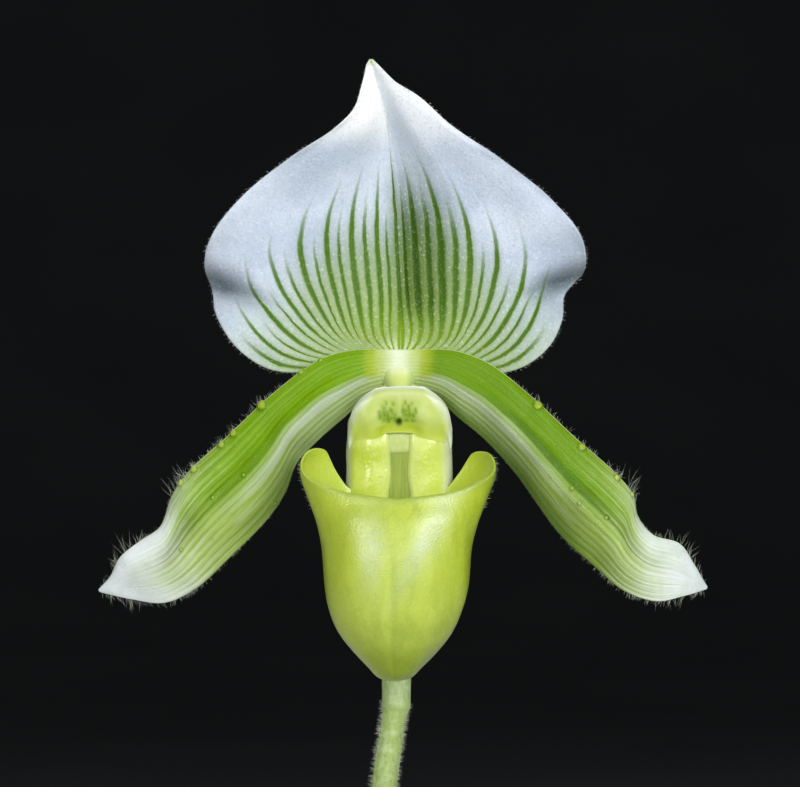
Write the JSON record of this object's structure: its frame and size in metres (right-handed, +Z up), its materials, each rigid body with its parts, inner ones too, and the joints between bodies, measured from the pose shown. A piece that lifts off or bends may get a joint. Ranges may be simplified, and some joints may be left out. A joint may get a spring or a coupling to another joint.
{
  "type": "potted paphiopedilum orchid",
  "caption": "Slipper orchid in a plain clay pot: a green and white flower with a pouched lip on a hairy stem, over strap leaves and bark.",
  "frame": {"origin": "centre of the pot's flat underside", "axes": "+Z up along the stem, -Y the way the flower faces, +X the viewer's right when looking at the flower"},
  "size_m": [0.2277, 0.1045, 0.3676],
  "materials": {
    "clay": "unglazed, matt, fine grain",
    "bark": "rough, damp bark",
    "bark_chip": "rough bark",
    "root": "felted, brown",
    "leaf_base": "smooth, pale green",
    "leaf": "satin, mottled light and dark green",
    "stem": "matt, finely haired",
    "ovary": "matt, ribbed, finely haired",
    "bract": "matt, faintly veined",
    "dorsal_sepal": "white with green veins, fine sparkle",
    "lower_sepal": "pale green with green veins",
    "petal": "green fading to white, waxy, warty edge",
    "lip": "glossy yellow-green, faintly veined",
    "column": "waxy cream",
    "staminode": "glossy pale green with green veins",
    "pollen": "sticky yellow"
  },
  "bodies": {
    "root": {"pot": "clay", "bark_mix": "bark", "bark_chip_01": "bark_chip", "bark_chip_02": "bark_chip", "bark_chip_03": "bark_chip", "bark_chip_04": "bark_chip", "bark_chip_05": "bark_chip", "bark_chip_06": "bark_chip", "bark_chip_07": "bark_chip", "bark_chip_08": "bark_chip", "bark_chip_09": "bark_chip", "bark_chip_10": "bark_chip", "bark_chip_11": "bark_chip", "bark_chip_12": "bark_chip", "bark_chip_13": "bark_chip", "bark_chip_14": "bark_chip", "crown": "leaf_base", "root_1": "root", "root_2": "root", "root_3": "root", "root_4": "root", "leaf_1": "leaf", "leaf_2": "leaf", "leaf_3": "leaf", "leaf_4": "leaf", "leaf_5": "leaf", "leaf_6": "leaf", "leaf_7": "leaf", "flower_stem": "stem", "ovary": "ovary", "bract": "bract", "dorsal_sepal": "dorsal_sepal", "lower_sepal": "lower_sepal", "petal_left": "petal", "petal_right": "petal", "lip": "lip", "column": "column", "staminode": "staminode", "anther_left": "pollen", "anther_right": "pollen"}
  },
  "joints": []
}
